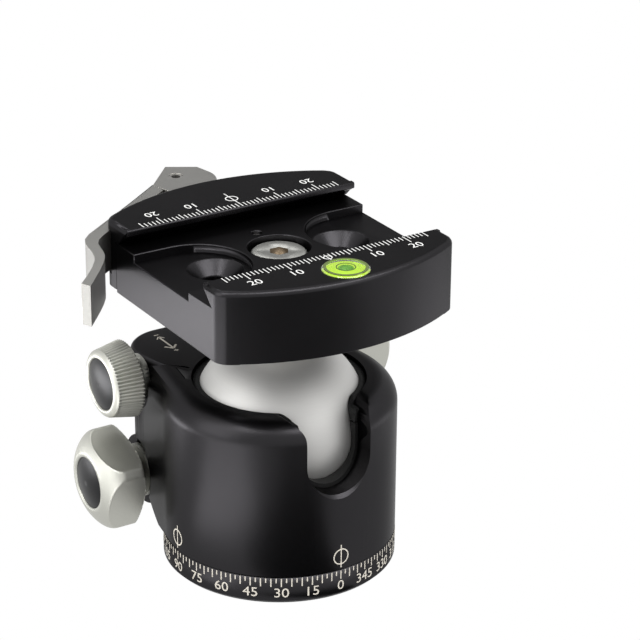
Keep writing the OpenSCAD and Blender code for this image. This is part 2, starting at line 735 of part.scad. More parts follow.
// Spiral cam: its distance from the pivot to the jaw falls evenly as the lever opens.
function cam_point(a) = let (h = cam_reach - cam_rate * a * PI / 180)
    [h * sin(a) - cam_rate * cos(a), -h * cos(a) - cam_rate * sin(a)];

module hub_2d() {
    translate([0, pivot_y]) polygon(concat(
        [for (a = [0:5:lever_angle]) cam_point(a)],
        [[7.15, 2.65], [0.75, 6.45], [-7.5, -2.7], [-6.2, -8]]));
}

function bezier(a, b, c, d, t) =
    a * pow(1 - t, 3) + 3 * b * t * pow(1 - t, 2) + 3 * c * t * t * (1 - t) + d * pow(t, 3);

// Outline of the arm: straight back, round elbow and outward sweep, then the same way back inside.
function sweep(off) = concat(
    [for (t = [0:0.2:1]) bezier(
        arm_to + [off[0], -off[0]], arm_to + [off[0] - 4.4, -3.3 - off[0]],
        tab_neck + [off[1] + 1.8, 4.4], tab_neck + [off[1], 0], t)],
    [for (t = [0.2:0.2:1]) bezier(
        tab_neck + [off[1], 0], tab_neck + [off[1] - 1.2, -3],
        tab_end + [off[1] + 3.8, 3.8], tab_end + [off[1] * 0.4, off[1] * -0.9], t)]);

function reversed(p) = [for (i = [len(p) - 1:-1:0]) p[i]];

module lever_arm() {
    back = [cos(arm_lean), sin(arm_lean)];
    inward = [sin(arm_lean), -cos(arm_lean)];
    outer = sweep([0, 0]);
    inner = sweep([arm_t * 0.68, tab_t]);
    translate([0, 0, lever_z]) linear_extrude(lever_h) polygon(concat(
        [arm_to + back * 32.8], outer, reversed(inner), [arm_to + back * 31 + inward * arm_t]));
}

module lever() color(bare) difference() {
    union() {
        translate([0, 0, hub_z]) linear_extrude(lever_top - hub_z) hub_2d();
        lever_arm();
    }
    translate([0, pivot_y, rod_z - eye_h / 2 - fit]) cylinder(r = eye_r + 0.3, h = eye_h + 2 * fit);
    translate([-rod_r - 0.3, pivot_y - 20, rod_z - eye_h / 2 - fit]) cube([20, 24, eye_h + 2 * fit]);
    translate([0, pivot_y, hub_z - 1]) cylinder(r = pivot_r + snug, h = 20);
}

// Rod that ties the lever's pivot to the clamp body, with an upright eye.
module draw_rod() color(steel) difference() {
    union() {
        translate([0, rod_from, rod_z]) rotate([-90, 0, 0]) cylinder(r = rod_r, h = pivot_y - rod_from - 3);
        translate([0, pivot_y, rod_z - eye_h / 2]) cylinder(r = eye_r, h = eye_h);
    }
    translate([0, pivot_y, rod_z - 10]) cylinder(r = pivot_r, h = 20);
    translate([0, rod_pin_y, rod_z - 10]) cylinder(r = rod_pin_r, h = 20);
}

// Rolled spring pin, open down the middle.
module pivot_pin() color(steel) difference() {
    translate([0, pivot_y, hub_z + 0.2]) cylinder(r = pivot_r, h = lever_top - hub_z - 0.4);
    translate([0, pivot_y, hub_z - 1]) cylinder(r = pivot_r - 0.55, h = 20);
}

// ---------- bubble level ----------

vial_in = [vial_r - vial_wall, vial_floor + 0.6, clamp_top - 0.6];

module vial_cavity() {
    translate([0, -vial_y, vial_in[1]]) cylinder(r = vial_in[0], h = vial_in[2] - vial_in[1]);
}

module bubble_shape() intersection() {
    vial_cavity();
    translate([0.2, -vial_y + 0.3, vial_in[2] - 1.1]) sphere(r = 1.5);
}

module vial_body() color("#d9e8c9") difference() {
    lens_r = 30;
    union() {
        translate([0, -vial_y, vial_floor]) cylinder(r = vial_r, h = vial_h);
        intersection() {
            translate([0, -vial_y, vial_floor + 1]) cylinder(r = vial_r - 0.4, h = vial_h + 2);
            translate([0, -vial_y, clamp_top + 0.4 - lens_r]) sphere(r = lens_r);
        }
    }
    vial_cavity();
}

module vial_liquid() color(fluid) difference() {
    vial_cavity();
    bubble_shape();
}

module vial_bubble() color("#f2f7d8") bubble_shape();

// ---------- nodes ----------

base_plate();
thread_insert();
thrust_washer();
brake_disc();
disc_screws();
housing();
bearing_plate();
plate_screws();
support_ring();
ball_liner();
race_ring();
ball_stem();
main_knob();
main_cap();
main_shaft();
main_bush();
main_pin();
main_shoe();
drag_knob();
drag_cap();
drag_shaft();
drag_bush();
drag_pin();
drag_shoe();
pan_knob();
pan_cap();
pan_shaft();
pan_bush();
pan_pin();
pan_shoe();
clamp_body();
centre_screw();
rod_pin();
guide_pins();
jaw_springs();
moving_jaw();
draw_rod();
lever();
pivot_pin();
vial_body();
vial_liquid();
vial_bubble();
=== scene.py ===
"""Dresses a tripod ball head: finishes, engraved scales, rounded edges and a plain studio."""

import json
import math

import bmesh
import bpy
from bpy.props import FloatProperty, FloatVectorProperty, IntProperty, PointerProperty
from mathutils import Euler, Matrix, Vector

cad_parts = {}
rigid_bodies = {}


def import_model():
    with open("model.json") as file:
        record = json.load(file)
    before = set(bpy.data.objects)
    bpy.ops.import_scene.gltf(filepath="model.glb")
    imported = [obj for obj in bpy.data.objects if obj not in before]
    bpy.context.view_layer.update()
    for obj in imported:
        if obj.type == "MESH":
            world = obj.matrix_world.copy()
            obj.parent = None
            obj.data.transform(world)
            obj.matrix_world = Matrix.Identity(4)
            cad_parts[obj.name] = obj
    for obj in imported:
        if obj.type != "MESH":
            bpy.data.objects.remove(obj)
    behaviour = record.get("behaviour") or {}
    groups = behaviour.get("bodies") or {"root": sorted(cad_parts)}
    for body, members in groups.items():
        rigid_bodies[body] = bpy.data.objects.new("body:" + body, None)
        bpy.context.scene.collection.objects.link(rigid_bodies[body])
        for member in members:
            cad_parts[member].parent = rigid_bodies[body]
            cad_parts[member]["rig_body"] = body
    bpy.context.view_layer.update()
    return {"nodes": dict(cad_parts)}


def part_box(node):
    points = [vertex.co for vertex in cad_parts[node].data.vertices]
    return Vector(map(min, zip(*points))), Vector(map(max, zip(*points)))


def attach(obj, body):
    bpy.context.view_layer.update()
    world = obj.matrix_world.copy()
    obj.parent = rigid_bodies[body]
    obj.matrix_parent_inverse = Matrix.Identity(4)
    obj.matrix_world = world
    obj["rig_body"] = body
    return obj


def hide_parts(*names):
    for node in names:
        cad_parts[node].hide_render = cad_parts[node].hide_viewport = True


bl_info = {
    "name": "Tripod Ball Head",
    "version": (1, 0, 0),
    "blender": (4, 5, 0),
    "location": "View3D > Sidebar > Ball Head",
    "description": "Builds the looks of a tripod ball head round its packed solids",
    "category": "Object",
}

MM = 0.001

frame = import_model()
BODY_OF = {node: obj["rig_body"] for node, obj in frame["nodes"].items()}


def node_box(node):
    """Lowest and highest corner of a node, in millimetres."""
    low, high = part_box(node)
    return Vector(low) / MM, Vector(high) / MM


CLAMP_LOW, CLAMP_HIGH = node_box("clamp_body")
JAW_LOW, JAW_HIGH = node_box("moving_jaw")
BASE_R = node_box("base_plate")[1].x
CLAMP_TOP = CLAMP_HIGH.z

# The lengths here and in the pieces' own forms are in millimetres. Settings and the stage are in metres.

# Lips of the fixed and of the moving jaw, and how far behind its lip each scale's figures are centred.
NEAR_LIP = -18.24
FAR_LIP = JAW_LOW.y
NEAR_FIGURES = 5.3
FAR_FIGURES = 5.75

# Vertices of a copied node that lie closer than this become one.
WELD = 0.002
# Triangles of a copied node within this many degrees become one face before edges are rounded.
FLAT_ANGLE = 0.6
# Roundings up to this width may overlap where cuts meet.
FREE_ROUNDING = 0.3
# An outward edge that turns by more than this many degrees counts as sharp.
SHARP_RIDGE = 40
# Height of a figure by the size of its font, and how thick it is.
FIGURE_SHARE = 0.73
FIGURE_THICK = 0.03
# Thickness of ticks and rings, which stand off their face by up to as much.
MARK_THICK = 0.05


# ---------- sizes and colours ----------


class ScaleSizes(bpy.types.PropertyGroup):
    """Engraved scales on the clamp, in metres."""

    tick: FloatProperty(name="Tick width", description="Width of a tick", default=0.00022, unit="LENGTH")
    short: FloatProperty(
        name="Short tick", description="Length of a 1 mm tick", default=0.0019, unit="LENGTH")
    middle: FloatProperty(
        name="Middle tick", description="Length of a 5 mm tick", default=0.0026, unit="LENGTH")
    long: FloatProperty(
        name="Long tick", description="Length of a 10 mm tick", default=0.0035, unit="LENGTH")
    digits: FloatProperty(name="Digits", description="Height of the digits", default=0.0024, unit="LENGTH")
    reach: IntProperty(name="Reach", description="Last tick on each side, in millimetres", default=25)


class RearSizes(bpy.types.PropertyGroup):
    """Rear block of the housing, in metres."""

    corner: FloatProperty(
        name="Corner", description="Radius of the rear corners", default=0.01, unit="LENGTH")
    corner_x: FloatProperty(
        name="Corner X", description="Centre of a corner, sideways", default=0.0116, unit="LENGTH")
    corner_y: FloatProperty(
        name="Corner Y", description="Centre of a corner, backwards", default=0.0274, unit="LENGTH")
    edge: FloatProperty(
        name="Top edge", description="Rounding of the top edge", default=0.0012, unit="LENGTH")
    mouth: FloatProperty(
        name="Mouth", description="Radius clear of the mouth", default=0.0204, unit="LENGTH")


class ClampSizes(bpy.types.PropertyGroup):
    """Outline of the clamp, in metres."""

    edge: FloatProperty(
        name="Top edge", description="Rounding of the top edges", default=0.0012, unit="LENGTH")
    corner: FloatProperty(
        name="Corner", description="Radius of the upright corners", default=0.004, unit="LENGTH")
    bow: FloatProperty(name="Bow", description="Radius of the bowed faces", default=0.054, unit="LENGTH")


class KnobSizes(bpy.types.PropertyGroup):
    """The three knobs, in metres."""

    main: FloatProperty(
        name="Main knob", description="Radius of the main knob's barrel", default=0.0124, unit="LENGTH")
    pan: FloatProperty(
        name="Pan knob", description="Radius of the pan knob's barrel", default=0.0117, unit="LENGTH")
    drag: FloatProperty(
        name="Drag knob", description="Largest radius of the drag knob", default=0.009, unit="LENGTH")
    flute: FloatProperty(name="Flute", description="Depth of a flute", default=0.00042, unit="LENGTH")
    flutes: IntProperty(name="Flutes", description="Number of flutes", default=60)
    flat_share: FloatProperty(
        name="Flats", description="Half width over flats by barrel radius", default=0.766)


class PanScaleSizes(bpy.types.PropertyGroup):
    """Degree scale round the base, in metres."""

    tick: FloatProperty(name="Tick width", description="Width of a tick", default=0.00026, unit="LENGTH")
    top: FloatProperty(
        name="Tick top", description="Height of the ticks' upper ends", default=0.00637, unit="LENGTH")
    long: FloatProperty(
        name="Long tick", description="Length of a 5 degree tick", default=0.00203, unit="LENGTH")
    short: FloatProperty(
        name="Short tick", description="Length of a tick between", default=0.00105, unit="LENGTH")
    digits: FloatProperty(name="Digits", description="Height of the digits", default=0.00236, unit="LENGTH")
    digits_z: FloatProperty(
        name="Digit height", description="Height of their foot", default=0.00172, unit="LENGTH")


class Finish(bpy.types.PropertyGroup):
    """Colours of the main finishes."""

    black: FloatVectorProperty(
        name="Anodising", description="Black anodised parts", default=(0.029, 0.028, 0.030), subtype="COLOR")
    titanium: FloatVectorProperty(
        name="Knobs", description="Blasted grey knobs", default=(0.46, 0.46, 0.42), subtype="COLOR")
    ball: FloatVectorProperty(
        name="Ball", description="Bare ball and stem", default=(0.66, 0.655, 0.64), subtype="COLOR")
    lever: FloatVectorProperty(
        name="Lever", description="Blasted lever", default=(0.34, 0.335, 0.32), subtype="COLOR")
    mark: FloatVectorProperty(
        name="Marks", description="Engraved marks on the clamp", default=(0.78, 0.78, 0.76), subtype="COLOR")
    liquid: FloatVectorProperty(
        name="Level", description="Fluid of the bubble level", default=(0.78, 0.92, 0.18), subtype="COLOR")


class StageSizes(bpy.types.PropertyGroup):
    """Floor and camera."""

    floor: FloatProperty(name="Floor", description="Side of the floor", default=3.0, unit="LENGTH")
    lens: FloatProperty(name="Lens", description="Focal length in millimetres", default=147.756)


class BallHead(bpy.types.PropertyGroup):
    """Everything a user may change."""

    scale: PointerProperty(type=ScaleSizes)
    pan_scale: PointerProperty(type=PanScaleSizes)
    rear: PointerProperty(type=RearSizes)
    clamp: PointerProperty(type=ClampSizes)
    knob: PointerProperty(type=KnobSizes)
    finish: PointerProperty(type=Finish)
    stage: PointerProperty(type=StageSizes)


def settings():
    """The scene's values of all of these."""
    return bpy.context.scene.ball_head


# ---------- shader expressions ----------


class Socket:
    """An output socket that takes part in Python expressions by adding Math nodes."""

    def __init__(self, graph, link):
        self.graph = graph
        self.link = link

    def math(self, operation, other, swapped=False):
        pair = (other, self) if swapped else (self, other)
        return self.graph.add("ShaderNodeMath", {"operation": operation}, *pair)

    def __add__(self, other):
        return self.math("ADD", other)

    def __radd__(self, other):
        return self.math("ADD", other, True)

    def __sub__(self, other):
        return self.math("SUBTRACT", other)

    def __rsub__(self, other):
        return self.math("SUBTRACT", other, True)

    def __mul__(self, other):
        return self.math("MULTIPLY", other)

    def __rmul__(self, other):
        return self.math("MULTIPLY", other, True)


class Graph:
    """A material's nodes, added one at a time with their settings and inputs."""

    def __init__(self, name):
        self.material = bpy.data.materials.new(name)
        self.material.use_nodes = True
        self.nodes = self.material.node_tree.nodes
        self.links = self.material.node_tree.links
        self.shader = self.nodes["Principled BSDF"]

    def feed(self, socket, value):
        """Links a socket to an output or sets its value."""
        if isinstance(value, Socket):
            self.links.new(value.link, socket)
        elif value is not None:
            socket.default_value = value

    def add(self, kind, options=None, *values, out=0, **named):
        """A new node's output, with its options set and its inputs fed by place or by name."""
        node = self.nodes.new(kind)
        for key, value in (options or {}).items():
            setattr(node, key, value)
        for socket, value in zip(node.inputs, values):
            self.feed(socket, value)
        for key, value in named.items():
            self.feed(node.inputs[key.replace("_", " ")], value)
        return Socket(self, node.outputs[out])

    def place(self):
        """The object's own coordinates."""
        return self.add("ShaderNodeTexCoord", out=3)

    def noise(self, scale, detail=2.0, rough=0.5):
        """Noise in the object's own coordinates."""
        return self.add(
            "ShaderNodeTexNoise", Vector=self.place(), Scale=scale, Detail=detail, Roughness=rough)

    def blend(self, factor, first, second):
        """Mix of two colours."""
        node = self.nodes.new("ShaderNodeMix")
        node.data_type = "RGBA"
        self.feed(node.inputs[0], factor)
        self.feed(node.inputs[6], first)
        self.feed(node.inputs[7], second)
        return Socket(self, node.outputs[2])

    def show(self, shader):
        """Makes a shader the material's surface."""
        self.links.new(shader.link, self.nodes["Material Output"].inputs["Surface"])

    def bump(self, height, strength, distance):
        """Relief on the surface."""
        normal = self.add("ShaderNodeBump", Height=height, Strength=strength, Distance=distance)
        self.feed(self.shader.inputs["Normal"], normal)

    def set(self, **values):
        """Feeds the shader's inputs."""
        for key, value in values.items():
            self.feed(self.shader.inputs[key.replace("_", " ")], value)


def rgba(colour, gain=1.0):
    """A colour with its alpha, made brighter by the gain."""
    return tuple(min(1.0, c * gain) for c in colour[:3]) + (1.0,)


# ---------- finishes ----------


def anodised(name, colour):
    g = Graph(name)
    grain = g.noise(5200, 3.0, 0.6)
    cloud = g.noise(55, 3.0)
    g.set(
        Base_Color=g.blend(cloud, rgba(colour, 0.9), rgba(colour, 1.12)),
        Roughness=0.26 + 0.1 * grain + 0.05 * cloud,
        Metallic=1.0,
        Specular_Tint=(0.6, 0.6, 0.6, 1),
    )
    g.bump(grain, 0.22, 0.00004)
    return g.material


def blasted(name, colour, rough):
    g = Graph(name)
    grain = g.noise(4200, 3.0, 0.65)
    cloud = g.noise(70, 2.0)
    g.set(
        Base_Color=g.blend(grain, rgba(colour, 0.9), rgba(colour, 1.1)),
        Roughness=rough + 0.08 * grain + 0.05 * cloud,
        Metallic=1.0,
    )
    g.bump(grain, 0.3, 0.00005)
    return g.material


def turned(name, colour):
    g = Graph(name)
    grain = g.noise(3800, 2.0)
    stretched = g.add("ShaderNodeMapping", None, g.place(), Scale=(300.0, 300.0, 9000.0))
    lines = g.add("ShaderNodeTexNoise", Vector=stretched, Scale=1.0, Detail=2.0)
    g.set(
        Base_Color=g.blend(lines, rgba(colour, 0.96), rgba(colour, 1.04)),
        Roughness=0.56 + 0.05 * grain + 0.03 * lines,
        Metallic=1.0,
    )
    g.bump(lines, 0.08, 0.00002)
    return g.material


def grained(name, tones, noise, rough, relief, **fixed):
    """A finish whose fine grain shifts its tone and roughness and stands in relief.

    noise is the grain's scale and detail, rough the least roughness and what the grain adds to it,
    and relief the strength and depth of the grain.
    """
    g = Graph(name)
    grain = g.noise(*noise)
    g.set(Base_Color=g.blend(grain, *tones), Roughness=rough[0] + rough[1] * grain, **fixed)
    g.bump(grain, *relief)
    return g.material


def metal(name, colour, rough):
    tones = rgba(colour, 0.92), rgba(colour, 1.06)
    return grained(name, tones, (2600, 3.0), (rough, 0.08), (0.06, 0.00002), Metallic=1.0)


def polymer(name):
    tones = (0.008, 0.008, 0.008, 1), (0.016, 0.016, 0.016, 1)
    return grained(name, tones, (2400, 2.0), (0.5, 0.12), (0.1, 0.00003), Specular_IOR_Level=0.2)


def cap(name):
    tones = (0.016, 0.016, 0.017, 1), (0.026, 0.026, 0.027, 1)
    return grained(name, tones, (3000, 2.0), (0.28, 0.1), (0.06, 0.00002), Metallic=1.0,
                   Specular_Tint=(0.9, 0.9, 0.9, 1))


def paint(name, colour):
    tones = rgba(colour, 0.9), rgba(colour, 1.05)
    return grained(name, tones, (6000, 3.0), (0.6, 0.1), (0.15, 0.00002))


def level_clear(name):
    g = Graph(name)
    grain = g.noise(900, 2.0)
    g.set(Base_Color=(0.9, 1.0, 0.82, 1), Roughness=0.04 + 0.03 * grain, Transmission_Weight=1.0, IOR=1.45)
    return g.material


def level_liquid(name, colour):
    # The emission paints a glow on the fluid, in its own colour, so it looks brighter than the lamps alone
    # light it.
    g = Graph(name)
    cloud = g.noise(300, 2.0)
    g.set(
        Base_Color=g.blend(cloud, rgba(colour, 0.96), rgba(colour, 1.04)),
        Emission_Color=rgba(colour),
        Roughness=0.15 + 0.05 * cloud,
        Emission_Strength=0.35,
        Subsurface_Weight=0.2,
        Subsurface_Radius=(0.002, 0.003, 0.001),
    )
    return g.material


def level_bubble(name):
    g = Graph(name)
    cloud = g.noise(500, 1.0)
    g.set(
        Base_Color=g.blend(cloud, (0.1, 0.3, 0.02, 1), (0.16, 0.42, 0.04, 1)),
        Roughness=0.1 + 0.05 * cloud,
    )
    return g.material


FINISHES = {}


def finish(name):
    """The finish of that name, made once, from its maker and what the maker needs."""
    own = settings().finish
    makers = {
        "anodised_black": (anodised, own.black),
        "titanium_grey": (blasted, own.titanium, 0.4),
        "blasted_silver": (blasted, own.lever, 0.36),
        "bare_aluminium": (turned, own.ball),
        "polymer_dark": (polymer,),
        "cap_black": (cap,),
        "plated_steel": (metal, (0.55, 0.54, 0.52), 0.27),
        "spring_steel": (metal, (0.45, 0.44, 0.43), 0.3),
        "insert_steel": (metal, (0.5, 0.48, 0.45), 0.3),
        "screw_steel": (metal, (0.42, 0.42, 0.4), 0.42),
        # Dark brown that paints the shade inside the screw's socket.
        "socket_brown": (metal, (0.1, 0.075, 0.05), 0.36),
        "shoe_bronze": (metal, (0.58, 0.42, 0.22), 0.33),
        # Smoother metal for polished edges, whose lighter colour also paints a highlight on them.
        "polished_edge": (metal, (0.6, 0.58, 0.53), 0.24),
        "vial_rim": (metal, (0.5, 0.66, 0.22), 0.2),
        "vial_clear": (level_clear,),
        "vial_green": (level_liquid, own.liquid),
        "bubble_air": (level_bubble,),
        "rim_shade": (paint, (0.1, 0.2, 0.02)),
        "ring_black": (paint, (0.01, 0.03, 0.012)),
        "clamp_marks": (paint, own.mark),
        "base_marks": (paint, (0.66, 0.62, 0.54)),
    }
    if name not in FINISHES:
        maker, *values = makers[name]
        FINISHES[name] = maker(name, *values)
    return FINISHES[name]


# ---------- helpers for pieces ----------


def mesh_from(name, bm):
    """A mesh made from a bmesh, which is freed."""
    mesh = bpy.data.meshes.new(name)
    bm.to_mesh(mesh)
    bm.free()
    return mesh


def in_scene(name, data):
    """A new object in the scene."""
    obj = bpy.data.objects.new(name, data)
    bpy.context.scene.collection.objects.link(obj)
    return obj


def on_body(name, mesh, body, slot, finishes, smooth):
    """A piece on a body, with its finishes, or its slot's own, and smooth up to an angle."""
    mesh.materials.clear()
    for item in finishes or (slot,):
        mesh.materials.append(finish(item))
    mesh.shade_smooth()
    mesh.set_sharp_from_angle(angle=math.radians(smooth))
    obj = in_scene(name, mesh)
    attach(obj, body)
    return obj


def piece(name, bm, body, slot, *finishes, smooth=35.0):
    """Turns a bmesh in millimetres into a finished piece on a body."""
    bmesh.ops.scale(bm, vec=(MM, MM, MM), verts=bm.verts)
    return on_body(name, mesh_from(name, bm), body, slot, finishes, smooth)


def dressed(node, slot, *finishes, shape=None, edges=None, widest=0.0, segments=3, smooth=32.0):
    """A merged, smooth copy of a node that stands for it.

    shape reworks the copy's bmesh, and edges gives each of its edges a rounding in millimetres,
    at most the widest. The second finish, if any, is that of the rounded edges. Only a rounding
    wider than FREE_ROUNDING is held back where it would overlap another.
    """
    bm = bmesh.new()
    bm.from_mesh(frame["nodes"][node].data)
    bmesh.ops.remove_doubles(bm, verts=bm.verts, dist=WELD * MM)
    if edges:
        bmesh.ops.dissolve_limit(
            bm, angle_limit=math.radians(FLAT_ANGLE), use_dissolve_boundaries=False, verts=bm.verts,
            edges=bm.edges)
        if shape:
            shape(bm)
        weight = bm.edges.layers.float.new("bevel_weight_edge")
        for edge in bm.edges:
            if len(edge.link_faces) == 2:
                edge[weight] = edges(edge) / widest
    name = node + "_dressed"
    obj = on_body(name, mesh_from(name, bm), BODY_OF[node], slot, finishes, smooth)
    if edges:
        rounding = obj.modifiers.new("edge_rounding", "BEVEL")
        rounding.width = widest * MM
        rounding.segments = segments
        rounding.limit_method = "WEIGHT"
        rounding.use_clamp_overlap = widest > FREE_ROUNDING
        if len(finishes) > 1:
            rounding.material = 1
        shading = obj.modifiers.new("face_shading", "WEIGHTED_NORMAL")
        shading.keep_sharp = True
    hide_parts(node)
    return obj


def ridge(edge):
    """Angle of an outward edge in degrees, or 0 for an inward one."""
    return max(math.degrees(edge.calc_face_angle_signed(0.0)), 0.0)


def bar(bm, centre, size, turn=0.0):
    """A thin upright-edged bar."""
    place = Matrix.Translation(centre) @ Matrix.Rotation(turn, 4, "Z") @ Matrix.Diagonal((*size, 1.0))
    bmesh.ops.create_cube(bm, size=1.0, matrix=place)


def digits(text, height):
    """Text as a mesh in millimetres, centred on X with its foot at Y = 0."""
    curve = bpy.data.curves.new("digits", "FONT")
    curve.body = text
    curve.size = height / FIGURE_SHARE
    curve.align_x = "CENTER"
    curve.extrude = FIGURE_THICK / 2
    curve.resolution_u = 4
    holder = in_scene("digits", curve)
    bpy.context.view_layer.update()
    shown = holder.evaluated_get(bpy.context.evaluated_depsgraph_get())
    mesh = bpy.data.meshes.new_from_object(shown)
    bpy.data.objects.remove(holder)
    return mesh


def revolved(profile, segments):
    """A turned form about Z from radius and height pairs whose ends lie on the axis."""
    bm = bmesh.new()
    points = [bm.verts.new((radius, 0.0, height)) for radius, height in profile]
    lines = [bm.edges.new(pair) for pair in zip(points, points[1:])]
    bmesh.ops.spin(bm, geom=points + lines, cent=(0, 0, 0), axis=(0, 0, 1),
                   angle=math.tau, steps=segments, use_merge=True)
    bmesh.ops.remove_doubles(bm, verts=bm.verts, dist=1e-4)
    bmesh.ops.recalc_face_normals(bm, faces=bm.faces)
    return bm


def ring_mark(bm, centre, radius, width, thick):
    """A ring that stands up from a flat face, drawn inwards from its outer radius."""
    made = bmesh.ops.create_circle(bm, cap_ends=False, radius=radius, segments=40)
    edges = list({e for v in made["verts"] for e in v.link_edges})
    grown = bmesh.ops.extrude_edge_only(bm, edges=edges)["geom"]
    inner = [v for v in grown if isinstance(v, bmesh.types.BMVert)]
    bmesh.ops.scale(bm, vec=((radius - width) / radius,) * 2 + (1.0,), verts=inner)
    flat = list({f for v in inner for f in v.link_faces})
    raised = bmesh.ops.extrude_face_region(bm, geom=flat)["geom"]
    top = [v for v in raised if isinstance(v, bmesh.types.BMVert)]
    bmesh.ops.translate(bm, vec=(0, 0, thick), verts=top)
    bmesh.ops.translate(bm, vec=centre, verts=made["verts"] + inner + top)


# ---------- pieces ----------


class BuildBase(bpy.types.Operator):
    """Base plate, its bearings and the degree scale"""

    bl_idname = "ball_head.base"
    bl_label = "Base"

    def execute(self, context):
        dressed("base_plate", "anodised_black", smooth=25)
        dressed("thread_insert", "insert_steel", smooth=25)
        dressed("thrust_washer", "polymer_dark")
        for node in ("brake_disc", "disc_screws"):
            dressed(node, "spring_steel")
        self.degree_scale(context.scene.ball_head.pan_scale)
        return {"FINISHED"}

    def degree_scale(self, sizes):
        """Ticks every 2.5 degrees and figures every 15, bent round the base."""
        thick, tick_step, figure_step, stretch = 0.06, 2.5, 15, 1.12
        bm = bmesh.new()
        for step in range(round(360 / tick_step)):
            turn = step * math.radians(tick_step)
            tall = (sizes.long if step % 2 == 0 else sizes.short) / MM
            centre = Vector((0, -BASE_R, sizes.top / MM - tall / 2))
            centre.rotate(Matrix.Rotation(-turn, 3, "Z"))
            bar(bm, centre, (sizes.tick / MM, thick, tall), -turn)
        for number in range(0, 360, figure_step):
            mesh = digits(str(number), sizes.digits / MM)
            for vertex in mesh.vertices:
                around = stretch * vertex.co.x / BASE_R - math.radians(number)
                out = BASE_R + vertex.co.z
                up = sizes.digits_z / MM + vertex.co.y
                vertex.co = (out * math.sin(around), -out * math.cos(around), up)
            bm.from_mesh(mesh)
            bpy.data.meshes.remove(mesh)
        piece("degree_scale", bm, "base", "anodised_black", "base_marks")


class BuildHousing(bpy.types.Operator):
    """Housing with its index marks, direction arrow and inner plates"""

    bl_idname = "ball_head.housing"
    bl_label = "Housing"

    def execute(self, context):
        dressed("housing", "anodised_black", smooth=28)
        for node in ("bearing_plate", "plate_screws", "support_ring"):
            dressed(node, "spring_steel")
        dressed("ball_liner", "polymer_dark")
        self.rear_block()
        self.index_marks()
        self.direction_arrow()
        return {"FINISHED"}

    def rear_outline(self, sizes):
        """Places and outward directions along the rear, from the right side's crease to the left side's."""
        corner, corner_x, corner_y = sizes.corner / MM, sizes.corner_x / MM, sizes.corner_y / MM
        wide = corner_x + corner
        crease_in, crease_y, side_steps, side_step = 4.2, 12.2, 5, 2.6
        corner_steps, corner_step, back_steps = 18, 5, 12
        path = [(Vector((wide - crease_in, crease_y)), Vector((0.94, -0.34)))]
        for k in range(1, side_steps + 1):
            inset = crease_in * (1 - k / side_steps) ** 1.4
            path.append((Vector((wide - inset, crease_y + side_step * k)), Vector((0.99, -0.12))))
        for k in range(1, corner_steps + 1):
            angle = math.radians(corner_step * k)
            across, back = math.cos(angle), math.sin(angle)
            place = Vector((corner_x + corner * across, corner_y + corner * back))
            path.append((place, Vector((across, back))))
        for k in range(1, back_steps + 1):
            path.append((Vector((corner_x * (1 - k / back_steps), corner_y + corner)), Vector((0, 1))))
        return path + [(Vector((-p.x, p.y)), Vector((-n.x, n.y))) for p, n in reversed(path[:-1])]

    def rear_block(self):
        """Flat-topped rear of the housing with crisp edges.

        Each row of a grid follows the outline: the first lies round the mouth, the next six round
        the top edge, and the others go down the wall and under it.
        """
        sizes = settings().rear
        edge, mouth = sizes.edge / MM, sizes.mouth / MM
        path = self.rear_outline(sizes)
        top = node_box("housing")[1].z + 0.015
        edge_rows, edge_step = 6, 18
        drops = (0, 4.0, 9.0, 14.5, 18.5, 23.0)
        tucks = (0.0, 0.0, 0.0, 0.0, 1.2, 5.0)
        rows = edge_rows + len(drops)
        bm = bmesh.new()
        bmesh.ops.create_grid(bm, x_segments=len(path) - 1, y_segments=rows, size=1.0)
        for vertex in bm.verts:
            column = round((vertex.co.x + 1) / 2 * (len(path) - 1))
            row = round((vertex.co.y + 1) / 2 * rows)
            out, normal = path[column]
            if row == 0:
                beside_mouth = out.y < mouth * 0.8
                flat = out - normal * 3.0 if beside_mouth else out.normalized() * mouth
                height = top
            elif row <= edge_rows:
                angle = math.radians(90 - edge_step * (row - 1))
                flat = out - normal * edge * (1 - math.cos(angle))
                height = top - edge * (1 - math.sin(angle))
            else:
                below = row - edge_rows - 1
                flat = out - normal * tucks[below]
                height = top - edge - drops[below]
            vertex.co = (flat.x, flat.y, height)
        bmesh.ops.recalc_face_normals(bm, faces=bm.faces)
        if sum(f.normal.z for f in bm.faces) < 0:
            bmesh.ops.reverse_faces(bm, faces=bm.faces)
        piece("rear_block", bm, "housing", "anodised_black", smooth=50.0)

    def index_marks(self):
        """Circle with an upright line, at 0 and at 90 degrees."""
        radius, ring_width, line_width, line_foot = 1.95, 0.26, 0.24, -2.7
        parts, part, middle_z = 14, 0.4, 9.9
        bm = bmesh.new()
        for turn in (0.0, math.radians(-90)):
            flat = bmesh.new()
            ring_mark(flat, (0, 0, 0), radius, ring_width, MARK_THICK)
            for step in range(parts):
                bar(flat, (0, line_foot + part * (step + 0.5), 0.02), (line_width, part + 0.01, MARK_THICK))
            for vertex in flat.verts:
                around = vertex.co.x / BASE_R + turn
                out = BASE_R + vertex.co.z
                vertex.co = (out * math.sin(around), -out * math.cos(around), middle_z + vertex.co.y)
            mesh = mesh_from("index", flat)
            bm.from_mesh(mesh)
            bpy.data.meshes.remove(mesh)
        piece("index_marks", bm, "housing", "anodised_black", "base_marks")

    def direction_arrow(self):
        """Minus, double arrow and plus beside the drag control."""
        bm = bmesh.new()
        top = node_box("housing")[1].z
        x, y, line, rise = -12.9, 28.9, 0.3, 0.06
        minus_y, plus_y = y + 4.6, y - 5.0
        bar(bm, (x, minus_y, top), (1.15, line, rise))
        bar(bm, (x, plus_y, top), (1.1, line, rise))
        bar(bm, (x, plus_y, top), (line, 1.1, rise))
        bar(bm, (x, y - 0.2, top), (0.42, 6.2, rise))
        for side in (-1, 1):
            bar(bm, (x + side * 0.5, y + 2.9, top), (1.45, line, rise), math.radians(-side * 52))
            bar(bm, (x + side * 0.75, y - 2.95, top), (2.2, 0.5, rise), math.radians(side * 48))
        piece("direction_arrow", bm, "housing", "anodised_black", "base_marks")


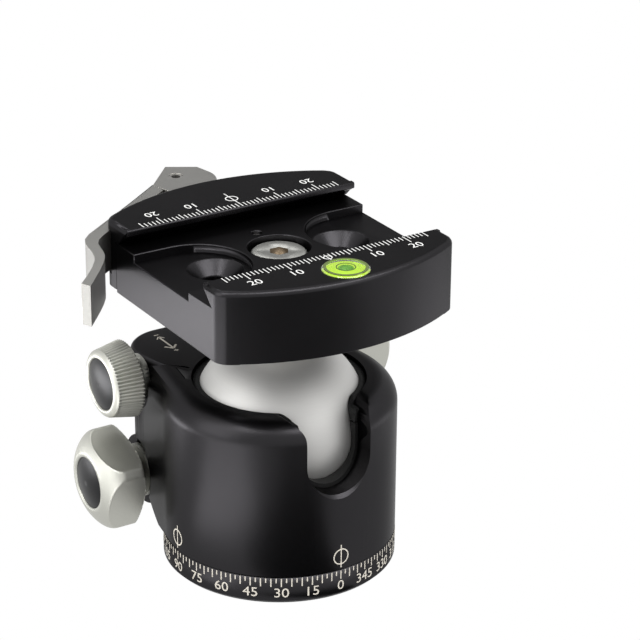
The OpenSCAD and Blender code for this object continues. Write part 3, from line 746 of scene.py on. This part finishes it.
class BuildBall(bpy.types.Operator):
    """Ball, stem and the ring under the mouth"""

    bl_idname = "ball_head.ball"
    bl_label = "Ball"

    def execute(self, context):
        dressed("ball_stem", "bare_aluminium", smooth=30)
        dressed("race_ring", "polymer_dark")
        return {"FINISHED"}


class BuildControls(bpy.types.Operator):
    """The three knobs with their caps, shafts, bushes, pins and shoes"""

    bl_idname = "ball_head.controls"
    bl_label = "Controls"

    def execute(self, context):
        for control in ("main", "drag", "pan"):
            dressed(control + "_cap", "cap_black")
            dressed(control + "_bush", "titanium_grey")
            for part in ("_shaft", "_pin"):
                dressed(control + part, "plated_steel")
            dressed(control + "_shoe", "shoe_bronze")
        self.square_knob("main", 10.0)
        self.square_knob("pan", -19.0)
        self.fluted_knob("drag")
        return {"FINISHED"}

    def span(self, control):
        """Side, inner end, length, axis and cap radius of a knob."""
        low, high = node_box(control + "_knob")
        side = 1 if high.x > 0 else -1
        back = min(abs(low.x), abs(high.x))
        cap_low, cap_high = node_box(control + "_cap")
        axis = (cap_low + cap_high) / 2
        return side, back, high.x - low.x, axis, (cap_high.y - cap_low.y) / 2

    def seat(self, bm, control, side, back, axis):
        """Sets a knob made about Z on its shaft."""
        turn = Matrix.Rotation(math.radians(90 * side), 4, "Y")
        place = Matrix.Translation((0, axis.y, axis.z)) @ turn @ Matrix.Translation((0, 0, back))
        bmesh.ops.transform(bm, matrix=place, verts=bm.verts)
        node = control + "_knob"
        knob = piece(node + "_form", bm, BODY_OF[node], "titanium_grey", smooth=50.0)
        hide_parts(node)

    def reshape(self, bm, least, reach):
        """Moves each vertex off the axis by more than the least radius in to the radius that reach gives."""
        for vertex in bm.verts:
            out = math.hypot(vertex.co.x, vertex.co.y)
            if out < least:
                continue
            kept = reach(out, math.atan2(vertex.co.y, vertex.co.x), vertex.co.z)
            vertex.co.x *= kept / out
            vertex.co.y *= kept / out

    def square_knob(self, control, turn):
        """Barrel with four soft-edged flats, a domed front and a hollow-sided rear."""
        sizes = settings().knob
        side, back, length, axis, cap = self.span(control)
        radius = (sizes.main if control == "main" else sizes.pan) / MM
        wall, hub, foot, sunk = 1.0, radius * 0.56, 0.4, length - 1.9
        rear, front = length * 0.24, length * 0.6
        rear_steps, barrel_steps, dome_steps = 16, 6, 24
        profile = [(0, 0), (hub * 0.5, 0), (hub - 0.3, 0), (hub, 0.25)]
        for step in range(1, rear_steps + 1):
            share = step / rear_steps
            ease = share * share * (3 - 2 * share)
            profile.append((hub + (radius - hub) * ease ** 0.8, foot + (rear - foot) * share))
        for step in range(1, barrel_steps + 1):
            profile.append((radius, rear + (front - rear) * step / barrel_steps))
        for step in range(1, dome_steps + 1):
            share = step / dome_steps
            profile.append((radius - (radius - cap - wall) * share ** 2.3, front + (length - front) * share))
        profile += [(cap + wall * 0.72, length), (cap + wall * 0.3, length - 0.03),
                    (cap + 0.08, length - 0.22), (cap + 0.04, sunk), (0, sunk)]
        bm = revolved(profile, 240)
        flat, soft = radius * sizes.flat_share, 0.32

        def reach(out, angle, height):
            """The flats lie a quarter of the soft band below the rim that the band ends in."""
            off = (angle - math.radians(turn) + math.pi / 4) % (math.pi / 2) - math.pi / 4
            limit = flat / math.cos(off)
            over = out - limit
            if over < -soft:
                return out
            return limit - soft / 4 if over > soft else out - (over + soft) ** 2 / (4 * soft)

        self.reshape(bm, cap + 0.3, reach)
        self.seat(bm, control, side, back, axis)

    def fluted_knob(self, control):
        """Tapered knob with rounded ridges that run out at a plain rim."""
        sizes = settings().knob
        side, back, length, axis, cap = self.span(control)
        radius, depth, flutes = sizes.drag / MM, sizes.flute / MM, sizes.flutes
        front, sunk, steps = cap + 1.9, length - 1.9, 16
        profile = [(0, 0), (radius * 0.4, 0), (radius - 2.6, 0), (radius - 1.9, 0.0), (radius - 1.2, 0.25),
                   (radius - 0.5, 0.62)]
        for step in range(steps + 1):
            share = step / steps
            profile.append((radius + (front - radius) * share, 0.95 + (length - 1.75) * share))
        profile += [(front - 0.22, length - 0.5), (front - 0.6, length - 0.24), (front - 1.1, length - 0.08),
                    (cap + 0.4, length), (cap + 0.12, length - 0.16), (cap + 0.04, length - 0.5),
                    (cap + 0.04, sunk), (0, sunk)]
        bm = revolved(profile, flutes * 8)
        rim, run_out, fade_length = length - 0.7, length - 0.9, 0.5

        def reach(out, angle, height):
            """Ridges are wider than the grooves between them."""
            if height > rim:
                return out
            groove = (0.5 - 0.5 * math.cos(angle * flutes)) ** 1.6
            return out - depth * groove * min(1.0, max(0.0, (run_out - height) / fade_length))

        self.reshape(bm, front - 0.1, reach)
        self.seat(bm, control, side, back, axis)


class BuildClamp(bpy.types.Operator):
    """Clamp body, moving jaw, screws and the millimetre scales"""

    bl_idname = "ball_head.clamp"
    bl_label = "Clamp"

    def execute(self, context):
        for node in ("clamp_body", "moving_jaw"):
            dressed(node, "anodised_black", shape=self.round_ends, edges=self.rounding,
                    widest=0.22, segments=2, smooth=40)
        self.screw()
        for node in ("rod_pin", "guide_pins", "draw_rod"):
            dressed(node, "plated_steel")
        dressed("jaw_springs", "spring_steel")
        self.lip("near_lip_land", "clamp", NEAR_LIP, 1)
        self.lip("far_lip_land", "jaw", FAR_LIP, -1)
        self.scale("near_scale", "clamp", NEAR_LIP, -1)
        self.scale("far_scale", "jaw", FAR_LIP, 1)
        return {"FINISHED"}

    def lip(self, name, body, edge, side):
        """Blunt, rounded land that ends a jaw's lip; side is the way the lip points."""
        reach, round_r, height, steps, bevel_width, end_gap = 0.28, 0.42, 1.55, 6, 0.1, 0.32
        top = CLAMP_TOP - 0.02
        foot = top - height
        quarter = [math.radians(90 / steps * k) for k in range(steps + 1)]
        outline = [(-1.0, top), (reach - round_r, top)]
        outline += [(reach - round_r * (1 - math.sin(a)), top - round_r * (1 - math.cos(a)))
                    for a in quarter[1:]]
        outline += [(reach - round_r * (1 - math.cos(a)), foot + round_r * (1 - math.sin(a)))
                    for a in quarter]
        outline += [(-1.6, foot - 0.9), (-1.7, top - 1.2)]
        half = CLAMP_HIGH.x - end_gap
        bm = bmesh.new()
        bmesh.ops.create_circle(bm, cap_ends=True, segments=len(outline), radius=1.0)
        bm.verts.ensure_lookup_table()
        for vertex, (out, up) in zip(bm.verts, outline):
            vertex.co = (-half, edge + side * out, up)
        sweep = bmesh.ops.extrude_face_region(bm, geom=bm.faces[:])
        moved = [item for item in sweep["geom"] if isinstance(item, bmesh.types.BMVert)]
        bmesh.ops.translate(bm, vec=(2 * half, 0, 0), verts=moved)
        bmesh.ops.recalc_face_normals(bm, faces=bm.faces)
        ends = [e for e in bm.edges if abs(e.verts[0].co.x - e.verts[1].co.x) < 1e-6]
        bmesh.ops.bevel(bm, geom=ends, offset=bevel_width, offset_type="OFFSET", affect="EDGES", segments=2,
                        profile=0.5, material=-1)
        bmesh.ops.recalc_face_normals(bm, faces=bm.faces)
        piece(name, bm, body, "anodised_black")

    def cut_levels(self, bm, foot, edge):
        """Cuts the bowed and end faces at the heights between which the top edge is rounded."""
        bowed_y, end_x, upright, steps = 24 * MM, 29 * MM, 0.9, 4
        for step in range(steps + 1):
            below_top = 0.0 if step < steps else 0.02
            height = (foot + edge * math.sin(math.radians(90 / steps * step)) - below_top) * MM
            bm.normal_update()
            outer = [f for f in bm.faces if abs(f.normal.z) < upright and (
                max(abs(v.co.y) for v in f.verts) > bowed_y or min(abs(v.co.x) for v in f.verts) > end_x)]
            joined = list({e for f in outer for e in f.edges}) + list({v for f in outer for v in f.verts})
            bmesh.ops.bisect_plane(bm, geom=outer + joined, dist=1e-7, plane_co=(0, 0, height),
                                   plane_no=(0, 0, 1))

    def round_ends(self, bm):
        """Carries the rounding of the bowed top edges round the corners and along the end faces.

        A vertex near the outline, which is an end face, a corner or the bow, is set on it.
        """
        sizes = settings().clamp
        edge, corner, bow = sizes.edge / MM, sizes.corner / MM, sizes.bow / MM
        foot = CLAMP_TOP - edge
        farthest_in, farthest_out, margin = 0.75, 0.3, 0.3
        self.cut_levels(bm, foot, edge)
        start = CLAMP_HIGH.x - corner
        span = math.sqrt((bow - corner) ** 2 - start ** 2)
        for vertex in bm.verts:
            x, y, z = vertex.co / MM
            if abs(x) < start - margin:
                continue
            side = 1 if y > 0 else -1
            reach = JAW_HIGH.y if y > 0 else -CLAMP_LOW.y
            centre_y = reach - bow
            turn_y = centre_y + span
            rise = max(0.0, min(z - foot, edge))
            inset = edge - math.sqrt(edge * edge - rise * rise)
            ax, ay = abs(x), abs(y)
            if ay <= turn_y:
                pivot, radius = Vector((0, ay)), CLAMP_HIGH.x
            elif math.atan2(ay - turn_y, ax - start) < math.atan2(span, start) and ax > start:
                pivot, radius = Vector((start, turn_y)), corner
            else:
                pivot, radius = Vector((0, centre_y)), bow
            arm = Vector((ax, ay)) - pivot
            if not -farthest_in - inset <= arm.length - radius <= farthest_out:
                continue
            ax, ay = pivot + arm.normalized() * (radius - inset)
            vertex.co.x = math.copysign(ax, x) * MM
            vertex.co.y = side * ay * MM
        bmesh.ops.remove_doubles(bm, verts=bm.verts, dist=0.012 * MM)
        bmesh.ops.dissolve_degenerate(bm, edges=bm.edges, dist=0.004 * MM)

    def rounding(self, edge):
        """Breaks sharp outward edges, except along the rounded top ends and at the jaws' ends."""
        if ridge(edge) < SHARP_RIDGE:
            return 0.0
        top_band, end_band, jaw_y, corner_band, broken = 1.3, 1.5, 17.5, 4.5, 0.2
        middle = (edge.verts[0].co + edge.verts[1].co) / (2 * MM)
        top_end = middle.z > CLAMP_TOP - top_band and abs(middle.x) > CLAMP_HIGH.x - end_band
        jaw_end = abs(middle.y) > jaw_y and abs(middle.x) > CLAMP_HIGH.x - corner_band
        return 0.0 if top_end or jaw_end else broken

    def screw(self):
        """Centre screw whose socket faces are painted dark brown as shade."""
        screw = dressed("centre_screw", "plated_steel", "screw_steel", "socket_brown")
        top = node_box("centre_screw")[1].z
        socket_r, socket_depth, rim = 2.35, 2.6, 0.05
        # The faces inside the socket take a dark brown that paints the shade in the recess.
        for face in screw.data.polygons:
            centre = face.center / MM
            sunk = top - socket_depth < centre.z < top - rim
            face.material_index = 1 if sunk and math.hypot(centre.x, centre.y) < socket_r else 0

    def scale(self, name, body, lip, side):
        """Millimetre ticks along a lip, with tens in figures and a zero mark; side leads off the lip."""
        sizes = settings().scale
        bm = bmesh.new()
        for step in range(-sizes.reach, sizes.reach + 1):
            length = sizes.short
            if step % 5 == 0:
                length = sizes.middle
            if step % 10 == 0:
                length = sizes.long
            length /= MM
            if step:
                bar(bm, (step, lip + side * length / 2, CLAMP_TOP), (sizes.tick / MM, length, MARK_THICK))
        turn = Matrix.Rotation(math.pi if side > 0 else 0.0, 4, "Z")
        tall = sizes.digits / MM
        middle = side * (FAR_FIGURES if side > 0 else NEAR_FIGURES)
        for step in (-20, -10, 10, 20):
            place = Matrix.Translation((step, lip + middle, CLAMP_TOP)) @ turn
            mesh = digits(str(abs(step)), tall)
            mesh.transform(place @ Matrix.Translation((0, -tall / 2, 0)))
            bm.from_mesh(mesh)
            bpy.data.meshes.remove(mesh)
        ring_y, radius, ring_width, line_y, line_length, line_width = (
            (5.1, 1.5, 0.24, 4.3, 8.6, 0.22) if side > 0 else (-1.75, 1.0, 0.2, -1.6, 3.2, 0.2))
        ring_mark(bm, (0, lip + ring_y, CLAMP_TOP), radius, ring_width, MARK_THICK)
        bar(bm, (0, lip + line_y, CLAMP_TOP), (line_width, line_length, MARK_THICK))
        piece(name, bm, body, "anodised_black", "clamp_marks")


class BuildLever(bpy.types.Operator):
    """Release lever with polished edges, painted lighter as a highlight, and its pivot"""

    bl_idname = "ball_head.lever"
    bl_label = "Lever"

    def execute(self, context):
        broken = 0.35
        # The rounded edges take a smoother metal whose lighter colour also paints a highlight on them.
        dressed("lever", "blasted_silver", "blasted_silver", "polished_edge",
                edges=lambda edge: broken if ridge(edge) > SHARP_RIDGE else 0.0, widest=broken)
        dressed("pivot_pin", "plated_steel")
        return {"FINISHED"}


class BuildLevel(bpy.types.Operator):
    """Round bubble level with a target ring over its bubble"""

    bl_idname = "ball_head.level"
    bl_label = "Bubble level"

    def execute(self, context):
        dressed("vial_body", "vial_clear")
        dressed("vial_liquid", "vial_green")
        low, high = node_box("vial_body")
        radius = (high.x - low.x) / 2
        self.ring("vial_collar", "vial_clear", "vial_rim", 0.1, radius * 0.93, radius * 0.13, 0.14)
        self.ring("vial_shade", "vial_clear", "rim_shade", 0.1, radius * 0.85, radius * 0.035, 0.135)
        self.ring("target_ring", "vial_green", "ring_black", 0.04, 2.15, 0.2, 0.04)
        self.bubble()
        return {"FINISHED"}

    def ring(self, name, slot, finish_name, sunk, radius, width, thick):
        """A ring round the level's middle whose foot is sunk below its top."""
        low, high = node_box("vial_body")
        centre = (low + high) / 2
        bm = bmesh.new()
        ring_mark(bm, (centre.x, centre.y, high.z - sunk), radius, width, thick)
        piece(name, bm, "clamp", slot, finish_name)

    def bubble(self):
        """Flattened bubble just under the level's glass."""
        low, high = node_box("vial_bubble")
        middle = (low + high) / 2
        half, tall, lift = (high.x - low.x) / 2 * 1.08, 0.3, 0.02
        angles = [math.radians(a) for a in range(-75, 90, 15)]
        profile = [(0, -tall)] + [(half * math.cos(a), tall * math.sin(a)) for a in angles] + [(0, tall)]
        bm = revolved(profile, 48)
        bmesh.ops.translate(bm, vec=(middle.x, middle.y, high.z + lift), verts=bm.verts)
        form = piece("bubble_form", bm, BODY_OF["vial_bubble"], "bubble_air")
        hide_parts("vial_bubble")


# ---------- stage ----------

# Heights in metres of the lamps and the cards that lie on the floor.
BOUNCE_LIFT = 0.002
CARD_LIFT = 0.0006
# The camera's place in metres, its turn in degrees and its shift by the sensor's width.
CAMERA_PLACE = (-0.27464, -0.45526, 0.28961)
CAMERA_TURN = (65.087, 0.0, -31.101)
CAMERA_SHIFT = (0.06396, 0.09131)
NEAREST_SEEN = 0.01
# Light of the surroundings on the object, and the rays that see them white instead.
SURROUND_LIGHT = 0.5
SEEN_RAYS = ("Is Camera Ray", "Is Glossy Ray", "Is Transmission Ray")


def softbox(name, place, aim, size, radiance):
    """A soft lamp that faces a point and isn't seen itself."""
    data = bpy.data.lights.new(name, "AREA")
    data.shape = "RECTANGLE"
    data.size, data.size_y = size
    data.energy = radiance * math.pi * size[0] * size[1]
    lamp = in_scene(name, data)
    lamp.location = place
    lamp.rotation_euler = (Vector(aim) - Vector(place)).to_track_quat("-Z", "Y").to_euler()
    lamp.visible_camera = False


def bounce(name, x, y, size, radiance):
    """A soft lamp just above the floor that faces up."""
    softbox(name, (x, y, BOUNCE_LIFT), (x, y, 1.0), size, radiance)


def flag(name, place, size, tone, turn=(0, 0, 0)):
    """A card of one tone that shows only in reflections."""
    bm = bmesh.new()
    bmesh.ops.create_grid(bm, x_segments=1, y_segments=1, size=0.5)
    shape = Matrix.LocRotScale(Vector(place), Euler(turn), Vector((*size, 1.0)))
    bmesh.ops.transform(bm, matrix=shape, verts=bm.verts)
    card = in_scene(name, mesh_from(name, bm))
    for ray in ("camera", "diffuse", "shadow", "transmission", "volume_scatter"):
        setattr(card, "visible_" + ray, False)
    g = Graph(name)
    g.show(g.add("ShaderNodeEmission", None, (tone, tone, tone, 1), 1.0))
    card.data.materials.append(g.material)


class BuildStage(bpy.types.Operator):
    """White floor, soft lamps and the camera"""

    bl_idname = "ball_head.stage"
    bl_label = "Stage"

    def execute(self, context):
        scene = context.scene
        sizes = scene.ball_head.stage
        scene.view_settings.view_transform = "Standard"
        self.build_floor(sizes.floor)
        self.build_world(scene)
        self.build_lamps()
        self.build_flags()
        self.build_camera(scene, sizes.lens)
        return {"FINISHED"}

    def build_lamps(self):
        """Each lamp with its place, aim, size and radiance."""
        middle = (0, 0, 0.04)
        softbox("left_softbox", (-0.7, 0.05, 0.35), middle, (0.5, 0.7), 2.2)
        softbox("top_softbox", (0.24, -0.38, 0.72), (0.24, -0.38, 0.0), (0.8, 0.26), 8.0)
        softbox("front_softbox", (0.38, -0.63, 0.38), middle, (0.3, 0.5), 1.2)
        softbox("rear_top_softbox", (0.06, 0.4, 0.62), middle, (0.25, 0.2), 3.4)
        softbox("shoulder_softbox", (-0.33, -0.12, 0.66), middle, (0.24, 0.24), 9.0)
        bounce("rear_bounce", -0.13, 0.11, (0.09, 0.09), 11.0)
        bounce("left_bounce", -0.075, -0.02, (0.05, 0.06), 3.0)
        bounce("corner_bounce", -0.165, -0.03, (0.07, 0.17), 3.0)
        bounce("right_bounce", 0.16, -0.05, (0.12, 0.1), 1.6)

    def build_flags(self):
        """Dark and grey cards that the front and the flat tops reflect."""
        flag("floor_flag", (-0.03, -0.22, CARD_LIFT), (0.24, 0.19), 0.04)
        flag("front_card", (-0.02, -0.062, CARD_LIFT), (0.05, 0.07), 0.05)
        distance, lift = 0.6, 0.07
        rear = Vector((0.43, 0.8, 0.421)) * distance
        turn = (-rear).to_track_quat("Z", "Y").to_euler()
        flag("rear_flag", rear + Vector((0, 0, lift)), (0.5, 0.38), 0.3, turn)

    def build_camera(self, scene, lens):
        """Camera that looks down on the head from the front left."""
        camera = bpy.data.cameras.new("camera")
        camera.lens = lens
        camera.shift_x, camera.shift_y = CAMERA_SHIFT
        camera.clip_start = NEAREST_SEEN
        holder = in_scene("camera", camera)
        holder.location = CAMERA_PLACE
        holder.rotation_euler = [math.radians(angle) for angle in CAMERA_TURN]
        scene.camera = holder

    def build_floor(self, side):
        """Pale floor that is plain white where it is seen and takes light and shadow for all other rays."""
        bm = bmesh.new()
        bmesh.ops.create_grid(bm, x_segments=1, y_segments=1, size=side / 2)
        floor = in_scene("floor", mesh_from("floor", bm))
        g = Graph("floor_white")
        rays = g.nodes.new("ShaderNodeLightPath").outputs
        camera, glossy, clear = (Socket(g, rays[name]) for name in SEEN_RAYS)
        seen = g.add("ShaderNodeMath", {"operation": "MAXIMUM"}, camera, glossy)
        seen = g.add("ShaderNodeMath", {"operation": "MAXIMUM"}, seen, clear)
        g.set(Base_Color=(0.8, 0.8, 0.8, 1), Roughness=0.9)
        white = g.add("ShaderNodeEmission", None, (1, 1, 1, 1), 1.0)
        body = Socket(g, g.shader.outputs[0])
        g.show(g.add("ShaderNodeMixShader", None, seen, body, white))
        floor.data.materials.append(g.material)

    def build_world(self, scene):
        """Surroundings that are white where they are seen and dimmer as light on the object."""
        world = bpy.data.worlds.new("studio")
        scene.world = world
        world.use_nodes = True
        nodes, links = world.node_tree.nodes, world.node_tree.links
        path = nodes.new("ShaderNodeLightPath")
        white = nodes.new("ShaderNodeBackground")
        mixed = nodes.new("ShaderNodeBackground")
        for shader, strength in ((white, 1.0), (mixed, SURROUND_LIGHT)):
            shader.inputs["Color"].default_value = (1, 1, 1, 1)
            shader.inputs["Strength"].default_value = strength
        for ray in SEEN_RAYS:
            pick = nodes.new("ShaderNodeMixShader")
            links.new(path.outputs[ray], pick.inputs[0])
            links.new(mixed.outputs[0], pick.inputs[1])
            links.new(white.outputs[0], pick.inputs[2])
            mixed = pick
        links.new(mixed.outputs[0], nodes["World Output"].inputs["Surface"])


class BallHeadPanel(bpy.types.Panel):
    """Lists the builders"""

    bl_idname = "VIEW3D_PT_ball_head"
    bl_label = "Ball Head"
    bl_space_type = "VIEW_3D"
    bl_region_type = "UI"
    bl_category = "Ball Head"

    def draw(self, context):
        for operator in OPERATORS:
            self.layout.operator(operator.bl_idname)
        for group in ("scale", "pan_scale", "rear", "clamp", "knob", "finish", "stage"):
            settings_of = getattr(context.scene.ball_head, group)
            box = self.layout.box()
            for key in settings_of.__annotations__:
                box.prop(settings_of, key)


OPERATORS = (
    BuildBase, BuildHousing, BuildBall, BuildControls, BuildClamp, BuildLever, BuildLevel, BuildStage)
GROUPS = (ScaleSizes, PanScaleSizes, RearSizes, ClampSizes, KnobSizes, Finish, StageSizes, BallHead)
CLASSES = (*GROUPS, *OPERATORS, BallHeadPanel)


def register():
    for item in CLASSES:
        bpy.utils.register_class(item)
    bpy.types.Scene.ball_head = PointerProperty(type=BallHead)


def unregister():
    del bpy.types.Scene.ball_head
    for item in reversed(CLASSES):
        bpy.utils.unregister_class(item)


def main():
    register()
    for operator in OPERATORS:
        group, name = operator.bl_idname.split(".")
        getattr(getattr(bpy.ops, group), name)()
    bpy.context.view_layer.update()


if __name__ == "__main__":
    main()
